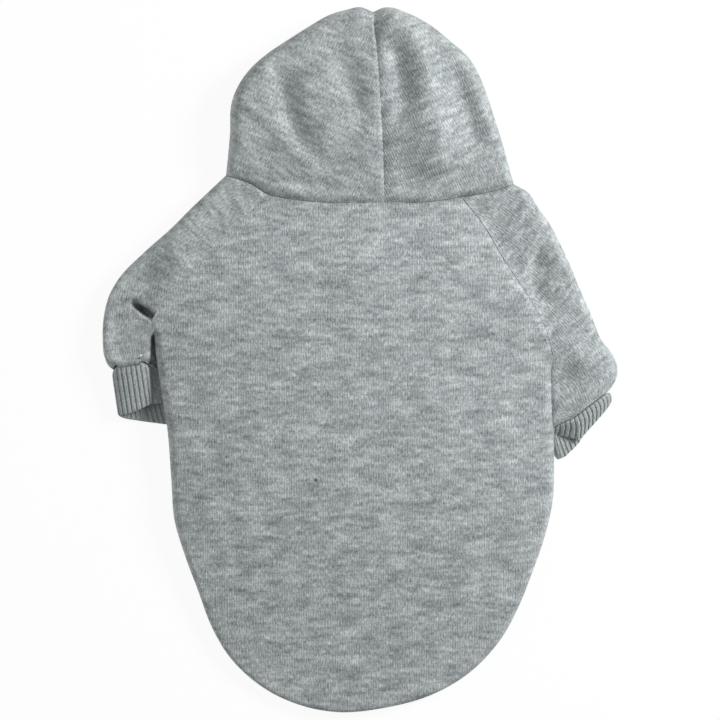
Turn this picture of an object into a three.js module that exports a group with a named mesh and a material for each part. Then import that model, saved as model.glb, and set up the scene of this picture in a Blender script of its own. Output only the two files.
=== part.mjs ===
// A small dog's hoodie lying flat with its back up: sewn fleece panels and ribbed cuffs, millimetres, +Z up.
// The plan is laid out from the middle of the back neck seam: x to the right, y towards the hood.
import * as THREE from 'three';

// Body
const backLength = 255; // neck seam to the tip of the tail
const bodyWidth = 200;
const bodyOffset = -12; // the body's axis from the middle of the neck seam
const bellyLength = 152; // back neck seam to the belly hem
const fleeceWall = 2.2;
const seamGap = 0.3;
const sideFlap = 12; // how far the back panel reaches under, and the width of the tail's turned hem
const sideSeamRun = 45; // length over which the side seam moves under from the underarm

// Neck
const neckWidth = 144;
const neckRise = 14; // how far the left end of the neck seam lies above its middle
const frontNeckDip = 24;
const frontSeamSpread = 0.5; // share of the front neck seam that the belly panel takes

// Hood
const hoodLength = 98;
const hoodReachLeft = 78;
const hoodReachRight = 64;
const centreSeamLean = 5.5;
const foreheadFlap = 16; // how far the centre seam runs under to the face opening

// Sleeves and cuffs
const sleeveWidthLeft = 25; // outwards from the underarm
const sleeveLengthLeft = 25.5; // on from the underarm to the outer end of the cuff seam
const sleeveWidthRight = 33;
const sleeveLengthRight = 17.5;
const cuffLengthLeft = 25;
const cuffLengthRight = 11;
const cuffHeight = 14;
const cuffWall = 2.6;

// Loft: radius of the folded edges, and how far the cloth rises above the fold
const bodyFold = 7;
const bodyCrown = 6;
const hoodFold = 9;
const hoodCrown = 10;
const neckCrown = 2.5;
const tailFold = 3;
const tailCrown = 0.6;
const crownSpread = 25;
const neckGroove = 35; // distance over which the cloth rises from the neck seam
const tailStart = 0.6; // shares of the back length between which the loft runs out
const tailEnd = 0.85;

// Mesh density
const backColumns = 14;
const raglanRows = 6;
const sideRows = 5;
const tailRows = 7;
const shoulderColumns = 5;
const tubeRows = 3;
const cuffRows = 2;

// Edge of the body below each underarm, as shares: down of backLength, out of bodyWidth
const bodyEdgeLeft = [
  { down: 0.2275, out: 0.5175 },
  { down: 0.286, out: 0.512 },
  { down: 0.365, out: 0.498 },
  { down: 0.443, out: 0.482 },
  { down: 0.541, out: 0.4725 },
  { down: 0.62, out: 0.465 },
  { down: 0.688, out: 0.44 },
  { down: 0.757, out: 0.4075 },
  { down: 0.835, out: 0.37 },
  { down: 0.898, out: 0.32 },
  { down: 0.953, out: 0.24 },
  { down: 0.986, out: 0.15 },
];
const bodyEdgeRight = [
  { down: 0.298, out: 0.48 },
  { down: 0.384, out: 0.4825 },
  { down: 0.482, out: 0.485 },
  { down: 0.58, out: 0.4825 },
  { down: 0.653, out: 0.4625 },
  { down: 0.722, out: 0.4325 },
  { down: 0.796, out: 0.395 },
  { down: 0.859, out: 0.35 },
  { down: 0.9216, out: 0.275 },
  { down: 0.967, out: 0.175 },
  { down: 0.991, out: 0.0625 },
];
const tailTip = { down: 1, out: 0.05 };
const tailCorner = 0.9; // share of backLength where the sides end and the tail's curve begins

// Back neck seam: across as a share of neckWidth, rise as a share of neckRise
const neckSeam = [
  { across: -0.549, rise: 1 },
  { across: -0.462, rise: 0.68 },
  { across: -0.403, rise: 0.32 },
  { across: -0.302, rise: 0.107 },
  { across: -0.153, rise: 0 },
  { across: 0, rise: 0 },
  { across: 0.149, rise: 0.036 },
  { across: 0.267, rise: 0.214 },
  { across: 0.368, rise: 0.4 },
  { across: 0.451, rise: 0.68 },
];
const raglanTopLeft = -0.403; // where the raglan seams start on the neck seam, as shares of neckWidth
const raglanTopRight = 0.267;

// Raglan seams: along and bow as shares of the seam's own length
const raglanBowLeft = [
  { along: 0.39, bow: 0.012 },
  { along: 0.65, bow: 0.023 },
  { along: 0.84, bow: 0.031 },
];
const raglanBowRight = [
  { along: 0.2, bow: -0.028 },
  { along: 0.42, bow: -0.03 },
  { along: 0.68, bow: -0.046 },
  { along: 0.87, bow: -0.037 },
];

// Outer edge of each sleeve from the end of the neck seam: shares of the way out to its widest and down to its cuff
const sleeveEdgeLeft = [
  { out: 0.122, down: 0.072 },
  { out: 0.293, down: 0.174 },
  { out: 0.439, down: 0.267 },
  { out: 0.659, down: 0.39 },
  { out: 0.854, down: 0.513 },
  { out: 0.951, down: 0.615 },
  { out: 0.996, down: 0.728 },
  { out: 1.004, down: 0.851 },
  { out: 0.988, down: 0.938 },
  { out: 0.943, down: 1 },
];
const sleeveEdgeRight = [
  { out: 0.135, down: 0.039 },
  { out: 0.231, down: 0.112 },
  { out: 0.346, down: 0.194 },
  { out: 0.4615, down: 0.306 },
  { out: 0.548, down: 0.403 },
  { out: 0.635, down: 0.51 },
  { out: 0.74, down: 0.631 },
  { out: 0.8365, down: 0.752 },
  { out: 0.933, down: 0.8155 },
  { out: 0.99, down: 0.879 },
  { out: 0.986, down: 0.942 },
  { out: 0.923, down: 1 },
];
// Inner end of each cuff seam, from the underarm: shares of the sleeve's width and length
const cuffSeamInnerLeft = { out: 0.04, down: 0.9 };
const cuffSeamInnerRight = { out: 0.05, down: 2.2 };

// Cuff lips: across runs from the outer to the inner edge, upper and lower are shares of the cuff's length
const cuffLipsLeft = [
  { across: 0, upper: 0.87, lower: 0.87 },
  { across: 0.25, upper: 0.89, lower: 0.98 },
  { across: 0.5, upper: 0.84, lower: 1.06 },
  { across: 0.75, upper: 0.79, lower: 1.17 },
  { across: 0.9, upper: 0.69, lower: 1.22 },
  { across: 1, upper: 1.23, lower: 1.23 },
];
const cuffLipsRight = [
  { across: 0, upper: 0.3, lower: 0.3 },
  { across: 0.33, upper: 0.6, lower: 0.62 },
  { across: 0.6, upper: 0.84, lower: 0.9 },
  { across: 0.8, upper: 0.4, lower: 1.1 },
  { across: 0.9, upper: 0.3, lower: 1.2 },
  { across: 1, upper: 1.2, lower: 1.2 },
];
// Degrees that the outer and the inner edge of each cuff lean to the right of straight down
const cuffAnglesLeft = { outer: 6, inner: 12 };
const cuffAnglesRight = { outer: 38, inner: 5 };

// Hood outline: out as a share of the hood's reach on that side, up as a share of hoodLength
const hoodEdgeLeft = [
  { out: 1, up: 0.245 },
  { out: 0.987, up: 0.357 },
  { out: 0.98, up: 0.5 },
  { out: 0.936, up: 0.597 },
  { out: 0.853, up: 0.689 },
  { out: 0.744, up: 0.765 },
  { out: 0.628, up: 0.8265 },
  { out: 0.487, up: 0.898 },
  { out: 0.353, up: 0.959 },
  { out: 0.237, up: 0.987 },
  { out: 0.154, up: 1 },
];
const hoodEdgeRight = [
  { out: 0.985, up: 0.163 },
  { out: 0.922, up: 0.311 },
  { out: 0.867, up: 0.423 },
  { out: 0.82, up: 0.52 },
  { out: 0.742, up: 0.653 },
  { out: 0.656, up: 0.745 },
  { out: 0.516, up: 0.8265 },
  { out: 0.383, up: 0.898 },
  { out: 0.266, up: 0.944 },
  { out: 0.164, up: 0.9745 },
  { out: 0.078, up: 0.995 },
  { out: 0, up: 0.9975 },
];
const hoodNotchUp = 0.9745;

// Edge of the face opening underneath, from the front of the neck to the forehead
const faceEdge = [
  { out: 0.32, up: 0.1 },
  { out: 0.53, up: 0.32 },
  { out: 0.52, up: 0.57 },
  { out: 0.32, up: 0.76 },
];

const slopeStep = 0.25; // half the step over which a slope is measured

const lerp = (a, b, t) => a + (b - a) * t;
const flat = (x, y) => new THREE.Vector3(x, y, 0);
const curveThrough = (points) => {
  const curve = new THREE.CatmullRomCurve3(points, false, 'centripetal');
  curve.arcLengthDivisions = 300;
  return curve;
};
const steps = (count, ease = (t) => t) => Array.from({ length: count + 1 }, (_, k) => ease(k / count));
const bothEnds = (t) => (1 - Math.cos(Math.PI * t)) / 2;
const farEnd = (t) => Math.sin((Math.PI * t) / 2);
const nearStart = (t) => Math.pow(t, 1.2);
const nearEnd = (t) => 1 - Math.pow(1 - t, 1.5);

// Share of a curve's length at which one coordinate reaches a value
function shareWhere(curve, axis, value) {
  let low = 0;
  let high = 1;
  const rising = curve.getPointAt(1)[axis] > curve.getPointAt(0)[axis];
  for (let step = 0; step < 30; step++) {
    const middle = (low + high) / 2;
    if (curve.getPointAt(middle)[axis] < value === rising) low = middle;
    else high = middle;
  }
  return (low + high) / 2;
}

// Plan curves
const neck = curveThrough(neckSeam.map((row) => flat(row.across * neckWidth, row.rise * neckRise)));
const neckMiddle = shareWhere(neck, 'x', 0);
const neckEnds = { left: neck.getPointAt(0), right: neck.getPointAt(1) };
const neckSpan = neckEnds.right.x - neckEnds.left.x;

// The front neck seam runs underneath, from end to end of the back one
function frontNeck(share) {
  const point = neckEnds.left.clone().lerp(neckEnds.right, share);
  point.y -= frontNeckDip * Math.pow(Math.sin(Math.PI * share), 0.6);
  return point;
}

const sides = {
  left: {
    sign: -1,
    bodyRows: bodyEdgeLeft,
    raglanTop: shareWhere(neck, 'x', raglanTopLeft * neckWidth),
    raglanBow: raglanBowLeft,
    sleeveRows: sleeveEdgeLeft,
    sleeveWidth: sleeveWidthLeft,
    sleeveLength: sleeveLengthLeft,
    cuffSeamInner: cuffSeamInnerLeft,
    cuffLips: cuffLipsLeft,
    cuffLength: cuffLengthLeft,
    cuffAngles: cuffAnglesLeft,
    hoodRows: hoodEdgeLeft,
    hoodReach: hoodReachLeft,
    neckEnd: neckEnds.left,
    frontSeamTop: (1 - frontSeamSpread) / 2,
    endShare: 0,
  },
  right: {
    sign: 1,
    bodyRows: bodyEdgeRight,
    raglanTop: shareWhere(neck, 'x', raglanTopRight * neckWidth),
    raglanBow: raglanBowRight,
    sleeveRows: sleeveEdgeRight,
    sleeveWidth: sleeveWidthRight,
    sleeveLength: sleeveLengthRight,
    cuffSeamInner: cuffSeamInnerRight,
    cuffLips: cuffLipsRight,
    cuffLength: cuffLengthRight,
    cuffAngles: cuffAnglesRight,
    hoodRows: hoodEdgeRight,
    hoodReach: hoodReachRight,
    neckEnd: neckEnds.right,
    frontSeamTop: (1 + frontSeamSpread) / 2,
    endShare: 1,
  },
};

const bodyPoint = (sign, row) => flat(bodyOffset + sign * row.out * bodyWidth, -row.down * backLength);
const centreSeam = (t) => flat(-centreSeamLean * Math.pow(t, 1.7), hoodNotchUp * hoodLength * t);
const hoodNotch = centreSeam(1);

// A seam between two points, bowed sideways by its table
function bowedSeam(start, end, rows) {
  const along = end.clone().sub(start);
  const across = flat(along.y, -along.x);
  const between = rows.map((row) => start.clone().addScaledVector(along, row.along).addScaledVector(across, row.bow));
  return curveThrough([start, ...between, end]);
}

const tail = bodyPoint(-1, tailTip);
const bodyEdge = curveThrough([
  ...bodyEdgeLeft.map((row) => bodyPoint(-1, row)),
  tail,
  ...bodyEdgeRight.map((row) => bodyPoint(1, row)).reverse(),
]);

for (const side of Object.values(sides)) {
  side.underarm = bodyPoint(side.sign, side.bodyRows[0]);
  side.raglan = bowedSeam(neck.getPointAt(side.raglanTop), side.underarm, side.raglanBow);
  side.frontRaglan = bowedSeam(frontNeck(side.frontSeamTop), side.underarm, []);
  const reach = side.sign * side.sleeveWidth + side.underarm.x - side.neckEnd.x;
  const drop = side.sleeveLength + side.neckEnd.y - side.underarm.y;
  const sleevePoint = (row) => flat(row.out * reach, -row.down * drop).add(side.neckEnd);
  side.sleeveEdge = curveThrough([side.neckEnd, ...side.sleeveRows.map(sleevePoint)]);
  const innerEnd = side.cuffSeamInner;
  side.cuffInner = flat(side.sign * innerEnd.out * side.sleeveWidth, -innerEnd.down * side.sleeveLength);
  side.cuffInner.add(side.underarm);
  side.cuffOuter = side.sleeveEdge.getPointAt(1);
  side.tubeInner = curveThrough([side.underarm, side.cuffInner]);
  side.hoodEdge = curveThrough([
    side.neckEnd,
    ...side.hoodRows.map((row) => flat(side.sign * row.out * side.hoodReach, row.up * hoodLength)),
    hoodNotch,
  ]);
  side.faceEdge = curveThrough([
    frontNeck(0.5),
    ...faceEdge.map((row) => flat(side.sign * row.out * side.hoodReach, row.up * hoodLength)),
    flat(hoodNotch.x, hoodNotch.y - foreheadFlap),
  ]);
}

// Distance in plan from the folded edges all round the garment
const foldedEdges = [bodyEdge];
for (const side of Object.values(sides)) foldedEdges.push(side.sleeveEdge, side.tubeInner, side.hoodEdge);
const edgeSegments = foldedEdges.flatMap((curve) => {
  const points = curve.getSpacedPoints(90);
  return points.slice(1).map((point, k) => new THREE.Line3(points[k], point));
});
const nearest = new THREE.Vector3();
function edgeDistance(point) {
  const level = flat(point.x, point.y);
  let best = Infinity;
  for (const segment of edgeSegments) {
    segment.closestPointToPoint(level, true, nearest);
    best = Math.min(best, nearest.distanceTo(level));
  }
  return best;
}

// Radius of the fold and crown of the cloth at a place in the plan
function loft(point) {
  const above = THREE.MathUtils.smoothstep(point.y, 0, 1.3 * neckGroove);
  const below = THREE.MathUtils.smoothstep(-point.y, 0, neckGroove);
  const out = THREE.MathUtils.smoothstep(-point.y, tailStart * backLength, tailEnd * backLength);
  return {
    fold: lerp(lerp(bodyFold, hoodFold, above), tailFold, out),
    crown: lerp(lerp(lerp(neckCrown, hoodCrown, above), bodyCrown, below), tailCrown, out),
  };
}
const roundEdge = (distance, radius) => {
  const left = 1 - Math.min(distance / radius, 1);
  return radius * Math.sqrt(1 - left * left);
};

// Height of the upper and of the lower layer at a plan point
function upperHeight(point, distance = edgeDistance(point)) {
  const { fold, crown } = loft(point);
  return fold + roundEdge(distance, fold) + crown * (1 - Math.exp(-distance / crownSpread));
}
function lowerHeight(point, distance = edgeDistance(point)) {
  const { fold } = loft(point);
  return fold - roundEdge(distance, fold);
}

// A plan point raised to its layer, with the outward normal there unless it lies on the folded edge itself
function raised(point, height, outward, distance) {
  const place = new THREE.Vector3(point.x, point.y, height(point, distance));
  if (Object.values(sides).some((side) => side.underarm.distanceTo(point) < slopeStep)) {
    place.normal = flat(0, -1); // the crotch between body and sleeve, where three panels meet
  }
  if (distance < 2 * slopeStep) return place;
  const slope = (dx, dy) => {
    const ahead = height(flat(point.x + dx, point.y + dy));
    return (ahead - height(flat(point.x - dx, point.y - dy))) / (2 * slopeStep);
  };
  place.normal = new THREE.Vector3(-slope(slopeStep, 0), -slope(0, slopeStep), 1).normalize();
  place.normal.multiplyScalar(outward);
  return place;
}
const upper = (point, distance = edgeDistance(point)) => raised(point, upperHeight, 1, distance);
const lower = (point, distance = edgeDistance(point)) => raised(point, lowerHeight, -1, distance);

// An outer surface gathered from grids of points, with shared points merged
class Cloth {
  constructor() {
    this.points = [];
    this.triangles = [];
    this.index = new Map();
  }

  vertex(point) {
    const key = [point.x, point.y, point.z].map((value) => Math.round(value * 1e3)).join();
    if (!this.index.has(key)) {
      this.index.set(key, this.points.length);
      this.points.push(point);
    }
    return this.index.get(key);
  }

  triangle(a, b, c) {
    if (a !== b && b !== c && c !== a) this.triangles.push([a, b, c]);
  }

  // Rows run one way and columns the other; flip turns the faces over
  grid(rows, flip = false) {
    for (let r = 1; r < rows.length; r++) {
      for (let c = 1; c < rows[r].length; c++) {
        let corners = [rows[r - 1][c - 1], rows[r][c - 1], rows[r][c], rows[r - 1][c]];
        if (flip) corners.reverse();
        const [a, b, c1, d] = corners.map((corner) => this.vertex(corner));
        if (corners[0].distanceTo(corners[2]) <= corners[1].distanceTo(corners[3])) {
          this.triangle(a, b, c1);
          this.triangle(a, c1, d);
        } else {
          this.triangle(a, b, d);
          this.triangle(b, c1, d);
        }
      }
    }
  }

  // The free edges, each once, in the sense of its triangle
  rim() {
    const used = new Set(this.triangles.flatMap(([a, b, c]) => [`${a},${b}`, `${b},${c}`, `${c},${a}`]));
    const edges = this.triangles.flatMap(([a, b, c]) => [[a, b], [b, c], [c, a]]);
    return edges.filter(([a, b]) => !used.has(`${b},${a}`));
  }

  normals() {
    const normals = this.points.map(() => new THREE.Vector3());
    for (const corners of this.triangles) {
      const [a, b, c] = corners.map((corner) => this.points[corner]);
      const face = b.clone().sub(a).cross(c.clone().sub(a)).normalize();
      corners.forEach((corner, k) => {
        const one = this.points[corners[(k + 1) % 3]].clone().sub(this.points[corner]);
        const two = this.points[corners[(k + 2) % 3]].clone().sub(this.points[corner]);
        normals[corner].addScaledVector(face, one.angleTo(two));
      });
    }
    return normals.map((normal, k) => this.points[k].normal ?? normal.normalize());
  }

  // A closed wall: the outer surface, drawn back from its seams, and the inner one under it
  solid(wall) {
    const normals = this.normals();
    const rim = this.rim();
    const inward = this.points.map(() => new THREE.Vector3());
    for (const [a, b] of rim) {
      const along = this.points[b].clone().sub(this.points[a]).normalize();
      for (const end of [a, b]) inward[end].add(normals[end].clone().cross(along).normalize());
    }
    const outer = this.points.map((point, k) => {
      return point.clone().addScaledVector(inward[k].normalize(), seamGap / 2);
    });
    const inner = outer.map((point, k) => point.clone().addScaledVector(normals[k], -wall));
    const count = outer.length;
    const faces = [...this.triangles];
    for (const [a, b, c] of this.triangles) faces.push([a + count, c + count, b + count]);
    for (const [a, b] of rim) {
      if (outer[b].distanceTo(inner[a]) < outer[a].distanceTo(inner[b])) {
        faces.push([b, a, a + count], [b, a + count, b + count]);
      } else {
        faces.push([b, a, b + count], [a, a + count, b + count]);
      }
    }
    const geometry = new THREE.BufferGeometry();
    const values = [...outer, ...inner].flatMap((point) => point.toArray());
    geometry.setAttribute('position', new THREE.Float32BufferAttribute(values, 3));
    geometry.setIndex(faces.flat());
    geometry.computeVertexNormals();
    return geometry;
  }
}

// A grid between four edges, given by their points and by the shares at which those points lie
function fill(top, bottom, left, right, across, down) {
  return left.map((_, j) => {
    return top.map((_, i) => {
      const u = across[i];
      const v = down[j];
      const ends = top[i].clone().lerp(bottom[i], v).add(left[j].clone().lerp(right[j], u));
      const upperEnds = top[0].clone().lerp(top[top.length - 1], u);
      const lowerEnds = bottom[0].clone().lerp(bottom[bottom.length - 1], u);
      return ends.sub(upperEnds.lerp(lowerEnds, v));
    });
  });
}

// Shares used on both sides of a seam, so that neighbours meet point by point
const acrossBack = steps(backColumns, bothEnds);
const shoulderSteps = steps(shoulderColumns, farEnd);
const underSleeve = [0, 0.04, 0.16, 0.44, 1]; // of the front neck seam as far as the front raglan seam
const underBelly = [0, 0.36, 0.7, 1]; // on from there to the middle
const bellySide = [0.06, 0.17]; // further columns of the belly panel beside its side seams
const tailSteps = steps(tailRows, (t) => 1 - Math.pow(1 - t, 2.2));

for (const side of Object.values(sides)) {
  const first = side.endShare;
  const along = side.sign < 0 ? 1 : -1;
  const cornerShare = (value) => {
    const half = curveThrough([...side.bodyRows.map((row) => bodyPoint(side.sign, row)), tail]);
    return (shareWhere(half, 'y', value) * half.getLength()) / bodyEdge.getLength();
  };
  side.raglanPoints = steps(raglanRows, nearEnd).map((t) => side.raglan.getPointAt(t));
  side.frontRaglanPoints = steps(raglanRows, nearEnd).map((t) => side.frontRaglan.getPointAt(t));
  side.hemShare = cornerShare(-bellyLength);
  side.cornerShare = cornerShare(-tailCorner * backLength);
  side.edgeShares = [
    ...steps(sideRows, nearStart).map((t) => t * side.hemShare),
    ...tailSteps.slice(1).map((t) => lerp(side.hemShare, side.cornerShare, t)),
  ].map((share) => first + along * share);
  side.edgePoints = side.edgeShares.map((share) => bodyEdge.getPointAt(share));
}

// Where the side seam, or the tail's hem, lies in from the edge, by the length run from the underarm
function seamDepth(share) {
  const run = Math.min(share, 1 - share) * bodyEdge.getLength();
  return sideFlap * farEnd(Math.min(run / sideSeamRun, 1));
}
function edgeInward(share) {
  const tangent = bodyEdge.getTangentAt(share);
  return flat(-tangent.y, tangent.x);
}
const flapPoint = (share, depth) => {
  const point = bodyEdge.getPointAt(share).addScaledVector(edgeInward(share), depth);
  return lower(point, depth);
};

function backPanel() {
  const { left, right } = sides;
  const top = acrossBack.map((u) => {
    const toMiddle = lerp(left.raglanTop, neckMiddle, u * 2);
    const fromMiddle = lerp(neckMiddle, right.raglanTop, u * 2 - 1);
    return neck.getPointAt(u <= 0.5 ? toMiddle : fromMiddle);
  });
  const tailShares = acrossBack.map((u) => {
    return lerp(left.edgeShares[left.edgeShares.length - 1], right.edgeShares[right.edgeShares.length - 1], u);
  });
  const bottom = tailShares.map((share) => bodyEdge.getPointAt(share));
  const leftEdge = [...left.raglanPoints, ...left.edgePoints.slice(1)];
  const rightEdge = [...right.raglanPoints, ...right.edgePoints.slice(1)];
  const ends = leftEdge.map((point) => (leftEdge[0].y - point.y) / (leftEdge[0].y - leftEdge[leftEdge.length - 1].y));
  const plan = fill(top, bottom, leftEdge, rightEdge, acrossBack, ends);
  const lastRow = plan.length - 1;
  const rows = plan.map((row, j) => {
    return row.map((point, i) => {
      const onFold = j === lastRow || (j >= raglanRows && (i === 0 || i === backColumns));
      return upper(point, onFold ? 0 : edgeDistance(point));
    });
  });
  const cloth = new Cloth();
  cloth.grid(rows);

  const path = [...left.edgeShares, ...tailShares.slice(1, -1), ...[...right.edgeShares].reverse()];
  const turns = [0, 0.08, 0.3, 0.6, 1];
  const skirt = path.map((share) => turns.map((turn) => flapPoint(share, turn * seamDepth(share))));
  cloth.grid(skirt, true);
  return cloth.solid(fleeceWall);
}

function bellyPanel() {
  const { left, right } = sides;
  const half = [0, ...bellySide, ...underBelly.slice(1)].map((t) => lerp(left.frontSeamTop, 0.5, t));
  const topShares = [...half, ...half.slice(0, -1).map((share) => 1 - share).reverse()];
  const top = topShares.map((share) => frontNeck(share));
  const seam = (side) => {
    const below = side.edgeShares.slice(1, sideRows + 1).map((share) => {
      return bodyEdge.getPointAt(share).addScaledVector(edgeInward(share), seamDepth(share));
    });
    return [...side.frontRaglanPoints, ...below];
  };
  const leftSeam = seam(left);
  const rightSeam = seam(right);
  const hemLeft = leftSeam[leftSeam.length - 1];
  const hemRight = rightSeam[rightSeam.length - 1];
  const across = topShares.map((share) => (share - topShares[0]) / (topShares[topShares.length - 1] - topShares[0]));
  const bottom = across.map((u) => hemLeft.clone().lerp(hemRight, u));
  const down = leftSeam.map((point) => (leftSeam[0].y - point.y) / (leftSeam[0].y - hemLeft.y));
  const plan = fill(top, bottom, leftSeam, rightSeam, across, down);
  const rows = plan.map((row, j) => {
    return row.map((point, i) => {
      const onSide = j >= raglanRows && (i === 0 || i === row.length - 1);
      if (!onSide) return lower(point);
      const side = i === 0 ? left : right;
      const share = side.edgeShares[j - raglanRows];
      return flapPoint(share, seamDepth(share));
    });
  });
  const cloth = new Cloth();
  cloth.grid(rows, true);
  return cloth.solid(fleeceWall);
}

const tableValue = (rows, key, across) => {
  const next = Math.max(1, rows.findIndex((row) => row.across >= across));
  const before = rows[next - 1];
  const after = rows[next];
  return lerp(before[key], after[key], (across - before.across) / (after.across - before.across));
};

// One ring of a cuff, as its upper and lower halves from the inner to the outer edge and back
function cuffRing(side, t) {
  const inwards = side.cuffInner.clone().sub(side.cuffOuter);
  const halfWidth = inwards.length() / 2;
  inwards.normalize();
  const place = (angle, layer) => {
    const across = (1 - Math.cos(angle)) / 2;
    const length = tableValue(side.cuffLips, layer, across) * side.cuffLength * t;
    const angleDown = THREE.MathUtils.degToRad(lerp(side.cuffAngles.outer, side.cuffAngles.inner, across));
    const lean = flat(Math.sin(angleDown), -Math.cos(angleDown));
    const point = side.cuffOuter.clone().lerp(side.cuffInner, across).addScaledVector(lean, length);
    const rise = (cuffHeight / 2) * Math.pow(Math.abs(Math.sin(angle)), 0.8);
    const up = layer === 'upper' ? 1 : -1;
    point.z = cuffHeight / 2 + up * rise;
    point.normal = inwards.clone().multiplyScalar(-Math.cos(angle) / halfWidth);
    point.normal.z = (up * Math.sin(angle)) / (cuffHeight / 2);
    point.normal.normalize();
    return point;
  };
  const top = steps(shoulderColumns).map((k) => place(Math.PI * (1 - k), 'upper'));
  const bottom = steps(underSleeve.length - 1).map((k) => place(Math.PI * k, 'lower'));
  return [...top, ...bottom.slice(1)];
}

function sleeve(side) {
  const rows = [];
  const shoulder = shoulderSteps.map((t) => neck.getPointAt(lerp(side.raglanTop, side.endShare, t)));
  const under = underSleeve.map((t) => frontNeck(lerp(side.endShare, side.frontSeamTop, t)));
  const edgeTotal = raglanRows + tubeRows;
  const underarmShare = 0.86;
  for (let j = 0; j < edgeTotal; j++) {
    const inRaglan = j <= raglanRows;
    const tubeShare = (j - raglanRows) / tubeRows;
    const start = inRaglan ? side.raglanPoints[j] : side.tubeInner.getPointAt(tubeShare);
    const end = inRaglan ? side.frontRaglanPoints[j] : start;
    const edgeShare = inRaglan ? underarmShare * nearEnd(j / raglanRows) : lerp(underarmShare, 1, tubeShare);
    const fold = side.sleeveEdge.getPointAt(edgeShare);
    const closed = Math.min(1, j / raglanRows);
    const ring = [];
    shoulderSteps.forEach((step, k) => {
      const share = lerp(step, bothEnds(k / shoulderColumns), closed);
      const point = j === 0 ? shoulder[k] : start.clone().lerp(fold, share);
      const onFold = k === shoulderColumns || (k === 0 && j >= raglanRows);
      ring.push(upper(point, onFold ? 0 : edgeDistance(point)));
    });
    underSleeve.forEach((step, k) => {
      if (k === 0) return;
      const share = lerp(step, bothEnds(k / (underSleeve.length - 1)), closed);
      const point = j === 0 ? under[k] : fold.clone().lerp(end, share);
      const onFold = k === underSleeve.length - 1 && j >= raglanRows;
      ring.push(lower(point, onFold ? 0 : edgeDistance(point)));
    });
    rows.push(ring);
  }
  rows.push(cuffRing(side, 0));
  const cloth = new Cloth();
  cloth.grid(rows, side.sign < 0);
  return cloth.solid(fleeceWall);
}

function cuff(side) {
  const rows = steps(cuffRows).map((t) => cuffRing(side, t));
  const cloth = new Cloth();
  cloth.grid(rows, side.sign < 0);
  return cloth.solid(cuffWall);
}

// Half of the hood: rings about the middle of the neck seam, out to the folded edge and under to the face opening
function hoodPanel(side) {
  const toRaglan = acrossBack.slice(0, backColumns / 2 + 1).map((u) => lerp(neckMiddle, side.raglanTop, 1 - 2 * u));
  toRaglan.reverse();
  const neckShares = [...toRaglan, ...shoulderSteps.slice(1).map((t) => lerp(side.raglanTop, side.endShare, t))];
  const onTop = neckShares.length - 1;
  const under = [
    ...underSleeve.slice(1).map((t) => lerp(side.endShare, side.frontSeamTop, t)),
    ...underBelly.slice(1).map((t) => lerp(side.frontSeamTop, 0.5, t)),
  ];
  const count = onTop + under.length;
  const middle = neck.getPointAt(neckMiddle);

  const place = (ring, turn) => {
    // turn is 0 on the neck seam and 1 on the centre seam
    const neckward = Math.max(0, 1 - 2 * turn);
    const crownward = Math.max(0, 2 * turn - 1);
    const edge = side.hoodEdge.getPointAt(turn);
    if (ring <= onTop) {
      const onNeck = neck.getPointAt(neckShares[ring]);
      const neckShare = Math.abs(onNeck.x - middle.x) / Math.abs(side.neckEnd.x - middle.x);
      const share = lerp(neckShare, farEnd(ring / onTop), turn);
      const point = middle.clone().lerp(edge, share);
      point.addScaledVector(onNeck.sub(middle.clone().lerp(side.neckEnd, neckShare)), neckward);
      point.addScaledVector(centreSeam(share).sub(middle.clone().lerp(hoodNotch, share)), crownward);
      return upper(point, ring === onTop ? 0 : edgeDistance(point));
    }
    const seamShare = under[ring - onTop - 1];
    const share = Math.abs(seamShare - side.endShare) * 2;
    const point = edge.clone().lerp(side.faceEdge.getPointAt(turn), share);
    const straight = side.neckEnd.clone().lerp(side.faceEdge.getPointAt(0), share);
    point.addScaledVector(frontNeck(seamShare).sub(straight), neckward);
    return lower(point);
  };
  const rows = steps(count).map((_, j) => {
    return steps(count).map((_, i) => {
      const ring = Math.max(i, j);
      if (ring === 0) return upper(middle);
      return place(ring, j <= i ? (0.5 * j) / ring : 1 - (0.5 * i) / ring);
    });
  });
  const cloth = new Cloth();
  cloth.grid(rows, side.sign > 0);
  return cloth.solid(fleeceWall);
}

const fleece = { color: '#9da3a3', roughness: 0.95, metalness: 0 };
const ribKnit = { color: '#8f9594', roughness: 0.9, metalness: 0 };

const hoodie = new THREE.Group();
function add(name, geometry, finish) {
  const mesh = new THREE.Mesh(geometry, new THREE.MeshStandardMaterial(finish));
  mesh.name = name;
  hoodie.add(mesh);
}
add('back_panel', backPanel(), fleece);
add('belly_panel', bellyPanel(), fleece);
for (const [name, side] of Object.entries(sides)) {
  add(`sleeve_${name}`, sleeve(side), fleece);
  add(`cuff_${name}`, cuff(side), ribKnit);
  add(`hood_${name}`, hoodPanel(side), fleece);
}

// The origin is the middle of the footprint, on the surface that the hoodie lies on
const box = new THREE.Box3().setFromObject(hoodie);
hoodie.position.set(-(box.min.x + box.max.x) / 2, -(box.min.y + box.max.y) / 2, -box.min.z);

export default hoodie;
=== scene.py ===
import math

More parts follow.
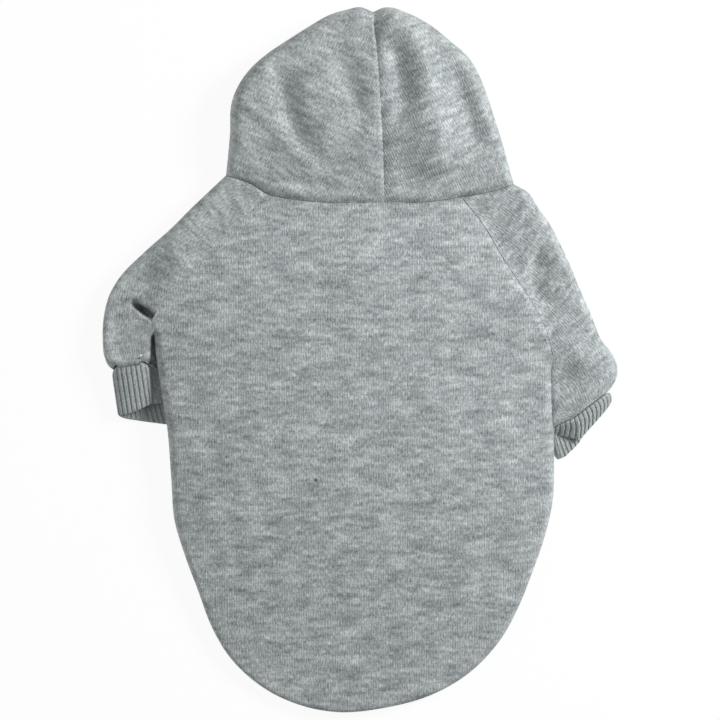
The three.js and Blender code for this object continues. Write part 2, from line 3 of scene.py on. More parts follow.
import bmesh
import bpy
import numpy as np
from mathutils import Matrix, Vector


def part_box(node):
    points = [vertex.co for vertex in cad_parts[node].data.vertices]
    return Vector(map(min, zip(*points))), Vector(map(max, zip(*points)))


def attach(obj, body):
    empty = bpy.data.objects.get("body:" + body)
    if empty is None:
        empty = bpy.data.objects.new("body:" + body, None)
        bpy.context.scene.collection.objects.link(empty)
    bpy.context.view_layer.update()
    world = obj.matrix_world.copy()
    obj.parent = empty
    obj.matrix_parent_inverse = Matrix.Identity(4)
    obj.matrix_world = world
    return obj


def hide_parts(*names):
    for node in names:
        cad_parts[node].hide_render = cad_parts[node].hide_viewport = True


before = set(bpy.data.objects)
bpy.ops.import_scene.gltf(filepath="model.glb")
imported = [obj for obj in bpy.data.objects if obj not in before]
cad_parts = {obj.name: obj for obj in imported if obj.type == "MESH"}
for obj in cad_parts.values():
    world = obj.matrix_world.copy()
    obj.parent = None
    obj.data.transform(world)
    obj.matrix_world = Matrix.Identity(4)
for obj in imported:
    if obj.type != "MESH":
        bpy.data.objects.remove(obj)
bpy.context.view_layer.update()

# The plan is laid out in mm from the middle of the back neck seam, x to the right and y towards the hood.
mm = 0.001

cloth = {
    "wall": 2.2,  # brushed sweatshirt fleece
    "waves": 26,  # plane waves that make up the cloth's slight unevenness
    "waveShort": 14.0,
    "waveLong": 60.0,
    "waveHeight": 0.3,
    "waveSlope": 0.7,  # long waves are higher than short ones by this power of their length
    "seed": 11,
    "weld": 0.02,  # points of neighbouring patches this close are one
}
body = {
    "length": 255.0,
    "width": 200.0,
    "offset": -12.0,  # its axis from the middle of the neck seam
    "bellyLength": 152.0,
    "flap": 12.0,  # how far the back reaches under, and the width of the tail's turned hem
    "flapRun": 45.0,
    "strip": 11.0,  # width of the strip of mesh that rolls over the folded edge
    "stripRun": 30.0,
    "tailTip": (1.0, 0.05),
    "tailCorner": 0.9,
    # edge below each underarm: down the length, out across the width
    "edgeLeft": [
        (0.2275, 0.5175), (0.286, 0.512), (0.365, 0.498), (0.443, 0.482), (0.541, 0.4725), (0.62, 0.465),
        (0.688, 0.44), (0.757, 0.4075), (0.835, 0.37), (0.898, 0.32), (0.953, 0.24), (0.986, 0.15),
    ],
    "edgeRight": [
        (0.298, 0.48), (0.384, 0.4825), (0.482, 0.485), (0.58, 0.4825), (0.653, 0.4625), (0.722, 0.4325),
        (0.796, 0.395), (0.859, 0.35), (0.9216, 0.275), (0.967, 0.175), (0.991, 0.0625),
    ],
}
neckline = {
    "width": 144.0,
    "rise": 14.0,
    "frontDip": 24.0,
    "frontRound": 0.6,  # the lower, the squarer the front neck seam's curve
    "frontSpread": 0.5,  # share of the front neck seam that the belly panel takes
    "shutAt": -6.0,  # behind the neck the seam lies shut, and over these distances from there it opens
    "shutOver": (4.0, 26.0),
    # across the width, up the rise
    "seam": [
        (-0.549, 1.0), (-0.462, 0.68), (-0.403, 0.32), (-0.302, 0.107), (-0.153, 0.0),
        (0.0, 0.0), (0.149, 0.036), (0.267, 0.214), (0.368, 0.4), (0.451, 0.68),
    ],
}
loftSizes = {
    # a fold's radius at the edge, and how much higher the crown lies inside it
    "bodyFold": 7.0, "bodyCrown": 6.0,
    "hoodFold": 9.0, "hoodCrown": 7.0,
    "tailFold": 3.0, "tailCrown": 2.5,
    "neckCrown": 2.5,
    "spread": 40.0,  # distance from the edge over which the crown rises
    "belowNeck": 35.0,  # lengths over which the neck's lower crown passes into the body's and the hood's
    "aboveNeck": 45.5,
    "tailStart": 0.4,  # shares of the body's length between which it thins towards the tail
    "tailEnd": 1.0,
    "underarmNear": (2.0, 10.0),  # the lift at an underarm dies away over these distances
    "underarmCrown": 0.15,  # share of the crown that counts there
    "squash": 0.6,  # a fold's width as a share of its height
    "pastEnd": 6.0,  # past its end a fold dies out the quicker, the higher this is
}


def smoothstep(value, low, high):
    t = np.clip((value - low) / (high - low), 0, 1)
    return t * t * (3 - 2 * t)


def lerp(a, b, t):
    return a + (b - a) * t


def unit(vectors):
    return vectors / np.maximum(np.linalg.norm(vectors, axis=-1, keepdims=True), 1e-9)


class Curve:
    # a centripetal spline through plan points, read by its share of the length
    def __init__(self, points, perSpan=24):
        p = np.array(points, float)
        p = np.vstack([2 * p[0] - p[1], p, 2 * p[-1] - p[-2]])
        t = np.linspace(0, 1, perSpan, endpoint=False)[:, None]
        spans = []
        for a, b, c, d in zip(p[:-3], p[1:-2], p[2:-1], p[3:]):
            ab, bc, cd = (math.dist(*ends) ** 0.5 for ends in ((a, b), (b, c), (c, d)))
            start = ((b - a) / ab - (c - a) / (ab + bc) + (c - b) / bc) * bc
            end = ((c - b) / bc - (d - b) / (bc + cd) + (d - c) / cd) * bc
            squares = (3 * c - 3 * b - 2 * start - end) * t**2
            cubes = (2 * b - 2 * c + start + end) * t**3
            spans.append(b + start * t + squares + cubes)
        self.points = np.vstack([*spans, p[-2:-1]])
        self.run = np.concatenate([[0], np.cumsum(np.linalg.norm(np.diff(self.points, axis=0), axis=1))])
        self.length = self.run[-1]

    def at(self, share):
        run = np.asarray(share) * self.length
        return np.stack([np.interp(run, self.run, self.points[:, k]) for k in (0, 1)], axis=-1)

    def leftward(self, share, step=0.002):
        share = np.asarray(share)
        along = unit(self.at(np.minimum(share + step, 1)) - self.at(np.maximum(share - step, 0)))
        return np.stack([-along[..., 1], along[..., 0]], axis=-1)

    def shareWhere(self, axis, value):
        places, run = self.points[:, axis], self.run
        if places[-1] < places[0]:
            places, run = places[::-1], run[::-1]
        return float(np.interp(value, places, run)) / self.length


def nearestOn(curve, points, count=90):
    # distance from each point to the curve, and the share of the curve's length there
    line = curve.at(np.linspace(0, 1, count + 1))
    best = np.full(points.shape[:-1], np.inf)
    share = np.zeros(points.shape[:-1])
    for k in range(count):
        along = line[k + 1] - line[k]
        t = np.clip(((points - line[k]) @ along) / (along @ along), 0, 1)
        distance = np.linalg.norm(points - line[k] - t[..., None] * along, axis=-1)
        nearer = distance < best
        best = np.where(nearer, distance, best)
        share = np.where(nearer, (k + t) / count, share)
    return best, share


# The two sides of the garment. Their outline tables hold shares of the lengths beside them:
# raglanBow along and across the seam, sleeveRows out and down, hoodRows out and up.
# From the underarm, cuffSeamInner is a share out and down to the inner end of the cuff's seam.
# The sleeve's inner side closes against the body below the heights closeBelow and within closeRun of its
# fold, and slips under the body by tuckUnder.
sides = {
    "left": {
        "sign": -1, "bodyRows": body["edgeLeft"], "raglanTop": -0.403, "end": 0.0,
        "raglanBow": [(0.39, 0.012), (0.65, 0.023), (0.84, 0.031)],
        "sleeveWidth": 25.0, "sleeveLength": 25.5,
        "sleeveRows": [
            (0.122, 0.072), (0.293, 0.174), (0.439, 0.267), (0.659, 0.39), (0.854, 0.513), (0.951, 0.615),
            (0.996, 0.728), (1.004, 0.851), (0.988, 0.938), (0.943, 1.0),
        ],
        "cuffSeamInner": (0.04, 0.9), "cuffLength": 25.0, "cuffArch": 3.2, "cuffFlat": 9.0, "cuffSway": 0.0,
        "closeBelow": (2.5, 6.5), "closeRun": (4.0, 18.0), "tuckUnder": 4.0,
        # turn round the cuff, from its outer fold over the top to the inner fold at 1 and back underneath,
        # length there as a share of cuffLength, and lean to the right of straight down in degrees
        "cuffLips": [
            (0.0, 0.88, 8), (0.33, 0.865, 9), (0.5, 0.82, 9), (0.67, 0.755, 9.5), (0.86, 0.72, 6),
            (1.0, 0.72, 5), (1.1, 1.1, 12), (1.2, 1.25, 14), (1.33, 1.18, 14), (1.5, 1.1, 14),
            (1.67, 1.0, 12), (2.0, 0.88, 8),
        ],
        "grainCentre": (-42, -63), "grainRadius": 76,
        "hoodReach": 78.0,
        "hoodRows": [
            (1.0, 0.245), (0.987, 0.357), (0.98, 0.5), (0.936, 0.597), (0.853, 0.689), (0.744, 0.765),
            (0.628, 0.8265), (0.487, 0.898), (0.353, 0.959), (0.237, 0.987), (0.154, 1.0),
        ],
    },
    "right": {
        "sign": 1, "bodyRows": body["edgeRight"], "raglanTop": 0.267, "end": 1.0,
        "raglanBow": [(0.2, -0.028), (0.42, -0.03), (0.68, -0.046), (0.87, -0.037)],
        "sleeveWidth": 33.0, "sleeveLength": 17.5,
        "sleeveRows": [
            (0.135, 0.039), (0.231, 0.112), (0.346, 0.194), (0.4615, 0.306), (0.548, 0.403), (0.635, 0.51),
            (0.74, 0.631), (0.8365, 0.752), (0.933, 0.8155), (0.99, 0.879), (0.986, 0.942), (0.923, 1.0),
        ],
        "cuffSeamInner": (0.05, 2.2), "cuffLength": 11.0, "cuffArch": 0.8, "cuffFlat": 6.5, "cuffSway": -1.3,
        "closeBelow": (15.0, 22.0), "closeRun": (2.0, 12.0), "tuckUnder": 3.0,
        "cuffLips": [
            (0.0, 0.32, 27), (0.295, 0.65, 18), (0.436, 0.81, 15), (0.532, 0.91, 12), (0.597, 0.97, 11),
            (0.667, 0.64, 5), (0.765, 0.34, 5), (1.0, 0.25, -8), (1.08, 1.28, 15.5), (1.205, 1.32, 21),
            (1.295, 1.21, 18), (1.436, 0.94, 14), (1.6, 0.73, 16), (2.0, 0.32, 27),
        ],
        "grainCentre": (-100, -230), "grainRadius": 255,
        "hoodReach": 64.0,
        "hoodRows": [
            (0.985, 0.163), (0.922, 0.311), (0.867, 0.423), (0.82, 0.52), (0.742, 0.653), (0.656, 0.745),
            (0.516, 0.8265), (0.383, 0.898), (0.266, 0.944), (0.164, 0.9745), (0.078, 0.995), (0.0, 0.9975),
        ],
    },
}
hood = {
    "length": 98.0,
    "seamLean": 5.5,  # how far the centre seam's top lies to the left, and the power of its bow
    "seamBow": 1.7,
    "notchUp": 0.9745,
    "foreheadFlap": 16.0,  # how far the centre seam runs under to the face opening
    "faceEdge": [(0.32, 0.1), (0.53, 0.32), (0.52, 0.57), (0.32, 0.76)],
    "rings": 64,
    "underRings": 26,
    "crowding": 0.6,  # draws the columns towards the seams
}

neck = Curve([(across * neckline["width"], rise * neckline["rise"]) for across, rise in neckline["seam"]])
neckMiddle = neck.shareWhere(0, 0.0)
neckLeft, neckRight = neck.at(0.0), neck.at(1.0)


def frontNeck(share):
    # the front neck seam, underneath, from end to end of the back one
    share = np.asarray(share, float)
    point = lerp(neckLeft, neckRight, share[..., None])
    point[..., 1] -= neckline["frontDip"] * np.sin(np.pi * share) ** neckline["frontRound"]
    return point


def bodyPoint(sign, row):
    return np.array([body["offset"] + sign * row[1] * body["width"], -row[0] * body["length"]])


def centreSeam(t):
    t = np.asarray(t, float)
    return np.stack([-hood["seamLean"] * t ** hood["seamBow"], hood["notchUp"] * hood["length"] * t], axis=-1)


def hoodPoint(side, row):
    return np.array([side["sign"] * row[0] * side["hoodReach"], row[1] * hood["length"]])


def bowedSeam(start, end, rows):
    along = end - start
    across = np.array([along[1], -along[0]])
    return Curve([start, *[start + along * t + across * bow for t, bow in rows], end])


bodyEdge = Curve(
    [bodyPoint(-1, row) for row in body["edgeLeft"]]
    + [bodyPoint(-1, body["tailTip"])]
    + [bodyPoint(1, row) for row in reversed(body["edgeRight"])]
)
notch = centreSeam(1.0)

for side in sides.values():
    sign = side["sign"]
    side["raglanTop"] = neck.shareWhere(0, side["raglanTop"] * neckline["width"])
    side["neckEnd"] = neck.at(side["end"])
    side["frontTop"] = (1 + sign * neckline["frontSpread"]) / 2
    side["underarm"] = bodyPoint(sign, side["bodyRows"][0])
    side["raglan"] = bowedSeam(neck.at(side["raglanTop"]), side["underarm"], side["raglanBow"])
    side["frontRaglan"] = Curve([frontNeck(side["frontTop"]), side["underarm"]])
    reach = sign * side["sleeveWidth"] + side["underarm"][0] - side["neckEnd"][0]
    drop = side["sleeveLength"] + side["neckEnd"][1] - side["underarm"][1]
    sleevePoints = [side["neckEnd"] + (out * reach, -down * drop) for out, down in side["sleeveRows"]]
    side["sleeveEdge"] = Curve([side["neckEnd"], *sleevePoints])
    out, down = side["cuffSeamInner"]
    side["cuffInner"] = side["underarm"] + (sign * out * side["sleeveWidth"], -down * side["sleeveLength"])
    side["cuffOuter"] = side["sleeveEdge"].at(1.0)
    side["tubeInner"] = Curve([side["underarm"], side["cuffInner"]])
    hoodPoints = [hoodPoint(side, row) for row in side["hoodRows"]]
    side["hoodEdge"] = Curve([side["neckEnd"], *hoodPoints, notch])
    facePoints = [hoodPoint(side, row) for row in hood["faceEdge"]]
    side["faceEdge"] = Curve([frontNeck(0.5), *facePoints, notch - (0, hood["foreheadFlap"])])

# Folded edges with the sign that turns their leftward direction outwards
foldedEdges = [(bodyEdge, -1)]
for side in sides.values():
    sign = side["sign"]
    foldedEdges += [(side["sleeveEdge"], sign), (side["tubeInner"], -sign), (side["hoodEdge"], -sign)]

# From the layout to the frame: the left sleeve's edge and the tail's tip lie where the nodes have theirs
shift = np.array([
    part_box("sleeve_left")[0][0] / mm - sides["left"]["sleeveEdge"].points[:, 0].min(),
    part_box("back_panel")[0][1] / mm + body["length"],
])
print("layout shift in mm", shift.round(2))


def edgeField(points):
    # distance to the nearest folded edge, the point on it and the outward direction there
    best = np.full(points.shape[:-1], np.inf)
    foot = np.zeros(points.shape)
    outward = np.zeros(points.shape)
    for curve, turn in foldedEdges:
        distance, share = nearestOn(curve, points)
        normal, place = curve.leftward(share), curve.at(share)
        away = points - place
        along = away[..., 0] * normal[..., 1] - away[..., 1] * normal[..., 0]
        distance = np.sqrt(distance**2 + along**2 * loftSizes["pastEnd"])
        nearer = distance < best
        best = np.where(nearer, distance, best)
        foot = np.where(nearer[..., None], place, foot)
        outward = np.where(nearer[..., None], normal * turn, outward)
    return best, foot, outward


def loft(points):
    # the fold's radius and the crown's height at each place
    y, size = points[..., 1], loftSizes
    above = smoothstep(y, 0, size["aboveNeck"])
    below = smoothstep(-y, 0, size["belowNeck"])
    out = smoothstep(-y, size["tailStart"] * body["length"], size["tailEnd"] * body["length"])
    fold = lerp(lerp(size["bodyFold"], size["hoodFold"], above), size["tailFold"], out)
    crown = lerp(size["neckCrown"], size["hoodCrown"], above)
    crown = lerp(lerp(crown, size["bodyCrown"], below), size["tailCrown"], out)
    return fold, crown


def roundEdge(distance, radius):
    # how high above the fold's middle the cloth lies at a distance from the edge
    left = 1 - np.minimum(distance / (radius * loftSizes["squash"]), 1)
    return radius * np.sqrt(1 - left * left)


def aroundEdge(distance, radius):
    # length of cloth from the fold's middle to the point, and from there to where the flat cloth begins
    quarter = radius * np.pi / 2 * math.sqrt((1 + loftSizes["squash"] ** 2) / 2)
    rest = np.arcsin(1 - np.minimum(distance / (radius * loftSizes["squash"]), 1)) * 2 / np.pi * quarter
    return quarter - rest, rest


def crowned(distance, fold, crown):
    # height of the upper layer without its folds and seams
    return fold + roundEdge(distance, fold) + crown * (1 - np.exp(-distance / loftSizes["spread"]))


def underarmLift(points, distance, fold, crown):
    # at each underarm the folds start at the height of the raglan seam, so that no pit forms there
    near = np.zeros(points.shape[:-1])
    for side in sides.values():
        away = np.linalg.norm(points - side["underarm"], axis=-1)
        near = np.maximum(near, 1 - smoothstep(away, *loftSizes["underarmNear"]))
    wanted = 2 * fold + crown * loftSizes["underarmCrown"]
    return np.maximum(wanted - crowned(distance, fold, crown), 0) * near


# Seams that the upper layer dips along: depth in mm, width to the left and to the right of the way they run,
# and the shares of the seam over which the dip grows at its start and dies away at its end
seams = [
    {"curve": neck, "depth": 2.8, "widths": (4.5, 2.2), "fade": (0, 0)},
    {"curve": sides["left"]["raglan"], "depth": 0.5, "widths": (2.2, 2.2), "fade": (0, 0.2)},
    {"curve": sides["right"]["raglan"], "depth": 1.9, "widths": (11.0, 2.8), "fade": (0, 0.1)},
    {"curve": Curve(centreSeam(np.linspace(0, 1, 9))), "depth": 1.4, "widths": (1.5, 5.5), "fade": (0.08, 0)},
]


def besideSeam(side, start, end, offset):
    # a line beside a raglan seam, on the sleeve
    share = np.linspace(start, end, 6)
    return side["raglan"].at(share) + side["raglan"].leftward(share) * (side["sign"] * offset)


# Folds and dents of each panel's upper layer: height in mm, widths to the left and right of the path, and
# the path. Each grows and dies away over the shares in fade, and power sets how steep its sides are.
folds = [
    {"panel": "hoodLeft", "height": -5.5, "widths": (7.5, 3.2),
     "path": [(-54, 82), (-53, 61), (-50, 48), (-46.5, 38.5), (-39.5, 29), (-26, 16)]},
    {"panel": "hoodLeft", "height": -3.8, "widths": (7.5, 4.5),
     "path": [(-27, 80), (-18.5, 58.5), (-11, 46), (-5, 35)]},
    {"panel": "hoodLeft", "height": 2.4, "widths": (9.0, 9.0), "fade": (0.2, 0.3),
     "path": [(-74, 20), (-73.5, 45), (-69, 58), (-62, 66), (-52, 74), (-38, 83)]},
    {"panel": "hoodLeft", "height": -1.6, "widths": (2.4, 2.4),
     "path": [(-56, 12), (-38, 9), (-18, 11)]},
    {"panel": "hoodLeft", "height": -1.8, "widths": (1.4, 3.0), "fade": (0.02, 0.6),
     "path": [(-80, 45), (-70, 45), (-60, 40)]},
    {"panel": "hoodRight", "height": -5.0, "widths": (8.0, 4.0),
     "path": [(1, 90), (4, 77), (7, 65), (8, 53), (7, 36)]},
    {"panel": "hoodRight", "height": 5.8, "widths": (5.4, 15.0), "fade": (0.05, 0.1),
     "path": [(4, 97), (9, 89.5), (15.5, 79), (20.5, 66), (24, 50), (26.5, 35), (29, 12)]},
    {"panel": "hoodRight", "height": -3.4, "widths": (5.5, 4.5),
     "path": [(30, 78), (36, 62), (40, 49), (44, 35), (48, 18)]},
    {"panel": "hoodRight", "height": -1.6, "widths": (2.4, 2.4),
     "path": [(4, 9), (20, 8), (38, 15)]},
    {"panel": "hoodRight", "height": -7.0, "widths": (0.7, 0.7),
     "path": [(13, 92), (26, 85.2), (34, 79), (39.5, 74.3), (44, 68)]},
    # the tuck that points at the left underarm, and the sleeve's slope down to its outer side
    {"panel": "sleeveLeft", "height": -11.0, "widths": (1.7, 1.7), "power": 4, "fade": (0.55, 0.02),
     "toSeam": True, "path": [(-127.5, -48), (-121, -52.8), (-113.5, -58.3)]},
    {"panel": "sleeveLeft", "height": 3.2, "widths": (15.0, 15.0),
     "path": [(-102, -16), (-100, -32), (-101, -48)]},
    {"panel": "sleeveLeft", "height": -6.0, "widths": (15.0, 15.0), "fade": (0.3, 0.15),
     "path": [(-106, -10), (-121, -26), (-133, -42), (-137, -60), (-136, -78), (-134, -95)]},
    {"panel": "sleeveLeft", "height": -1.5, "widths": (4.0, 6.0),
     "path": besideSeam(sides["left"], 0.0, 0.85, -4.0)},
    {"panel": "sleeveRight", "height": -2.4, "widths": (11.0, 1.8), "fade": (0.1, 0.1),
     "path": besideSeam(sides["right"], 0.0, 1.0, 0.3)},
    {"panel": "sleeveRight", "height": -5.2, "widths": (3.0, 9.0), "fade": (0.1, 0.4),
     "path": [(71, -50), (72.5, -42), (75, -32), (79, -20)]},
    {"panel": "sleeveRight", "height": -3.5, "widths": (13.0, 13.0), "fade": (0.3, 0.2),
     "path": [(86, -76), (87, -95), (87.5, -112)]},
    {"panel": "sleeveRight", "height": 1.4, "widths": (4.5, 4.5),
     "path": [(88, -88), (98, -80), (112, -74)]},
]
# Distances in mm over which a fold dies out towards a seam, and a fold or a seam towards the folded edge
reliefRuns = {"foldToSeam": 3.0, "foldToEdge": 4.0, "seamToEdge": 1.5}
for fold in folds:
    fold["curve"] = Curve(fold["path"])

draws = np.random.default_rng(cloth["seed"])
waveLengths = np.geomspace(cloth["waveShort"], cloth["waveLong"], cloth["waves"])
waveAngles = draws.uniform(0, 2 * np.pi, cloth["waves"])
wavePhases = draws.uniform(0, 2 * np.pi, cloth["waves"])


def unevenness(points):
    total = np.zeros(points.shape[:-1])
    for length, angle, phase in zip(waveLengths, waveAngles, wavePhases):
        along = points[..., 0] * math.cos(angle) + points[..., 1] * math.sin(angle)
        size = (length / cloth["waveLong"]) ** cloth["waveSlope"]
        total += size * np.sin(2 * np.pi * along / length + phase)
    return total * cloth["waveHeight"] * (2 / cloth["waves"]) ** 0.5


def sidedWidth(row, points, share):
    # the width of a seam or fold on the side that each point is on
    away = points - row["curve"].at(share)
    onLeft = (away * row["curve"].leftward(share)).sum(axis=-1) > 0
    return np.where(onLeft, row["widths"][0], row["widths"][1])


def fadeEnds(share, start, end):
    return smoothstep(share, 0, max(start, 1e-6)) * (1 - smoothstep(share, 1 - max(end, 1e-6), 1))


def relief(points, distance, panel):
    # height of the folds, seams and unevenness over the smooth upper layer
    height = unevenness(points)
    onSeams = [nearestOn(seam["curve"], points) for seam in seams]
    # the panels meet at the same height, so a fold dies out towards a seam unless it runs up to it
    toSeam = np.min([away for away, _ in onSeams], axis=0)
    held = 1 - np.exp(-toSeam / reliefRuns["foldToSeam"])
    for fold in folds:
        if fold["panel"] == panel:
            away, share = nearestOn(fold["curve"], points, 24)
            near = np.exp(-((away / sidedWidth(fold, points, share)) ** fold.get("power", 2)))
            near *= fadeEnds(share, *fold.get("fade", (0.4, 0.4)))
            height += fold["height"] * near * (1 if fold.get("toSeam") else held)
    height *= 1 - np.exp(-distance / reliefRuns["foldToEdge"])
    for seam, (away, share) in zip(seams, onSeams):
        near = (1 - np.minimum(away / sidedWidth(seam, points, share), 1)) ** 2
        near *= fadeEnds(share, *seam["fade"])
        height -= seam["depth"] * near * (1 - np.exp(-distance / reliefRuns["seamToEdge"]))
    return height


def upper(points, panel, onFold=None):
    # the upper layer over plan points, and where its cloth lies when it is unrolled
    distance, foot, outward = edgeField(points)
    if onFold is not None:
        distance = np.where(onFold, 0, distance)
    fold, crown = loft(points)
    z = crowned(distance, fold, crown)
    z += relief(points, distance, panel) + underarmLift(points, distance, fold, crown)
    reach = fold * loftSizes["squash"]
    _, rest = aroundEdge(distance, fold)
    rolled = foot + outward * (rest - reach)[..., None]
    flat = np.where((distance < reach)[..., None], rolled, points)
    return np.concatenate([points, z[..., None]], axis=-1), flat


def lower(points, distance=None, foot=None, outward=None):
    # the same for the lower layer, which runs on round the fold from the upper one
    if distance is None:
        distance, foot, outward = edgeField(points)
    fold, crown = loft(points)
    z = fold - roundEdge(distance, fold) + underarmLift(points, distance, fold, crown)
    reach = fold * loftSizes["squash"]
    run, rest = aroundEdge(distance, fold)
    around = run + (run + rest) + np.maximum(distance - reach, 0)
    flat = foot + outward * (around - reach)[..., None]
    return np.concatenate([points, z[..., None]], axis=-1), flat


def fill(top, bottom, left, right, across, down):
    # a grid between four edges, given by their points and the shares at which those lie
    u, v = across[None, :, None], down[:, None, None]
    corners = lerp(lerp(top[0], top[-1], u), lerp(bottom[0], bottom[-1], u), v)
    return lerp(top[None], bottom[None], v) + lerp(left[:, None], right[:, None], u) - corners


def graded(inner, foldShare, foldSteps):
    # 0 to 1, crowded at both ends like the steps round a quarter circle
    end = foldShare * (1 - np.cos(np.linspace(0, np.pi / 2, foldSteps + 1)))
    middle = np.linspace(foldShare, 1 - foldShare, inner + 1)
    return np.concatenate([end[:-1], middle, (1 - end)[::-1][1:]])


# How far the panels stop short of each seam, in mm, and at most this share of the way to the next row
seamGaps = {"neck": 0.3, "raglanLeft": 0.0, "raglanRight": 0.2, "centre": 0.04, "under": 0.05, "cuff": 0.25}
mostOfRow = 0.4


def openSeam(points, edge, inside, gap):
    # the seam row stops short of the seam, so that a dark line shows there
    away = points[inside] - points[edge]
    spacing = np.linalg.norm(away, axis=-1, keepdims=True)
    points[edge] += unit(away) * np.minimum(gap, mostOfRow * spacing)


def neckGap(points):
    # the neck seam is pulled open towards its ends and lies shut behind the neck
    away = np.abs(points[..., 0] - neckline["shutAt"])
    return (seamGaps["neck"] * smoothstep(away, *neckline["shutOver"]))[..., None]


def makeCloth(name, patches, grain, wall, replacedNode, weld=cloth["weld"]):
    # patches are (places, flat) grids in mm, with a third grid for the painted shade in the rib's valleys and
    # in the cuff seam's recess, and grain is the angle of the knit's courses on this panel, in degrees
    build = bmesh.new()
    layer = build.verts.layers.float_vector.new("cloth")
    turn = math.radians(grain)
    for places, flat, *valleyShade in patches:
        rows, columns = places.shape[:2]
        made = bmesh.ops.create_grid(build, x_segments=columns - 1, y_segments=rows - 1, size=1)["verts"]
        for vertex in made:
            i = round((vertex.co.x + 1) / 2 * (columns - 1))
            j = round((vertex.co.y + 1) / 2 * (rows - 1))
            x, y, z = places[j, i]
            vertex.co = ((x + shift[0]) * mm, (y + shift[1]) * mm, z * mm)
            u, v = flat[j, i]
            vertex[layer] = (
                (u * math.cos(turn) + v * math.sin(turn)) * mm,
                (v * math.cos(turn) - u * math.sin(turn)) * mm,
                valleyShade[0][j, i] if valleyShade else 0,
            )
    bmesh.ops.remove_doubles(build, verts=build.verts, dist=weld * mm)
    bmesh.ops.recalc_face_normals(build, faces=build.faces)
    build.faces.ensure_lookup_table()
    heights = [face.calc_center_median().z for face in build.faces]
    if build.faces[int(np.argmin(heights))].normal.z > 0:
        bmesh.ops.reverse_faces(build, faces=build.faces)
    for face in build.faces:
        face.smooth = True
    for edge in build.edges:
        edge.smooth = not edge.is_boundary
    mesh = bpy.data.meshes.new(name)
    build.to_mesh(mesh)
    build.free()
    piece = bpy.data.objects.new(name, mesh)
    bpy.context.scene.collection.objects.link(piece)
    if wall:
        shell = piece.modifiers.new("wall", "SOLIDIFY")
        shell.thickness = wall * mm
        shell.offset = -1
    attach(piece, "root")
    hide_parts(replacedNode)
    area = sum(face.area for face in mesh.polygons)
    print(name, len(mesh.vertices), "vertices,", round(area, 5), "square metres")
    return piece


bodyMesh = {
    "columns": 112, "raglanRows": 52, "sideRows": 56, "tailRows": 46, "flapRows": 14,
    "foldSteps": 3,  # columns in the share of the width beside each edge
    "foldShare": 0.03,
    "firstRows": (0.1, 0.25, 0.5),  # rows beside the neck seam, as shares of the fourth one's place
    # powers that crowd the rows: down the raglan, down the side and round the tail
    "raglanCrowding": 1.25, "sideCrowding": 1.2, "tailCrowding": 1.8,
}
bellyMesh = {"columns": 60, "raglanRows": 30, "foldSteps": 4, "foldShare": 0.05}


def edgeShares(side):
    # shares down one side of the body, the same for the back's edge and its turned flap
    rows = [bodyPoint(side["sign"], row) for row in side["bodyRows"]]
    half = Curve([*rows, bodyPoint(-1, body["tailTip"])])
    heights = (-body["bellyLength"], -body["tailCorner"] * body["length"])
    hem, corner = (half.shareWhere(1, y) * half.length / bodyEdge.length for y in heights)
    t = np.linspace(0, 1, bodyMesh["sideRows"] + 1)
    s = 1 - (1 - np.linspace(0, 1, bodyMesh["tailRows"] + 1)[1:]) ** bodyMesh["tailCrowding"]
    along = np.concatenate([t ** bodyMesh["sideCrowding"] * hem, lerp(hem, corner, s)])
    return along if side["sign"] < 0 else 1 - along


for side in sides.values():
    side["edgeShares"] = edgeShares(side)


def flapDepth(share):
    run = np.minimum(share, 1 - share) * bodyEdge.length
    return body["flap"] * np.sin(np.pi / 2 * np.minimum(run / body["flapRun"], 1))


def stripAt(share, turn):
    # the upper layer beside the folded edge, from the fold at turn 0 in to the strip's inner line
    share, turn = np.broadcast_arrays(share, turn)
    run = np.minimum(share, 1 - share) * bodyEdge.length
    depth = turn * body["strip"] * np.sin(np.pi / 2 * np.minimum(run / body["stripRun"], 1))
    return upper(bodyEdge.at(share) + bodyEdge.leftward(share) * depth[..., None], "back", turn == 0)


def flapAt(share, turn):
    # the cloth turned under along the edge, by the share round the edge and the share in to the seam
    share, turn = np.broadcast_arrays(share, turn)
    depth = turn * flapDepth(share)
    foot = bodyEdge.at(share)
    inward = bodyEdge.leftward(share)
    return lower(foot + inward * depth[..., None], depth, foot, -inward)


def downRaglan(mesh):
    # shares down a raglan seam, close together beside the neck seam
    t = 1 - (1 - np.linspace(0, 1, mesh["raglanRows"] + 1)) ** mesh["raglanCrowding"]
    t[1:4] = t[4] * np.array(mesh["firstRows"])
    return t


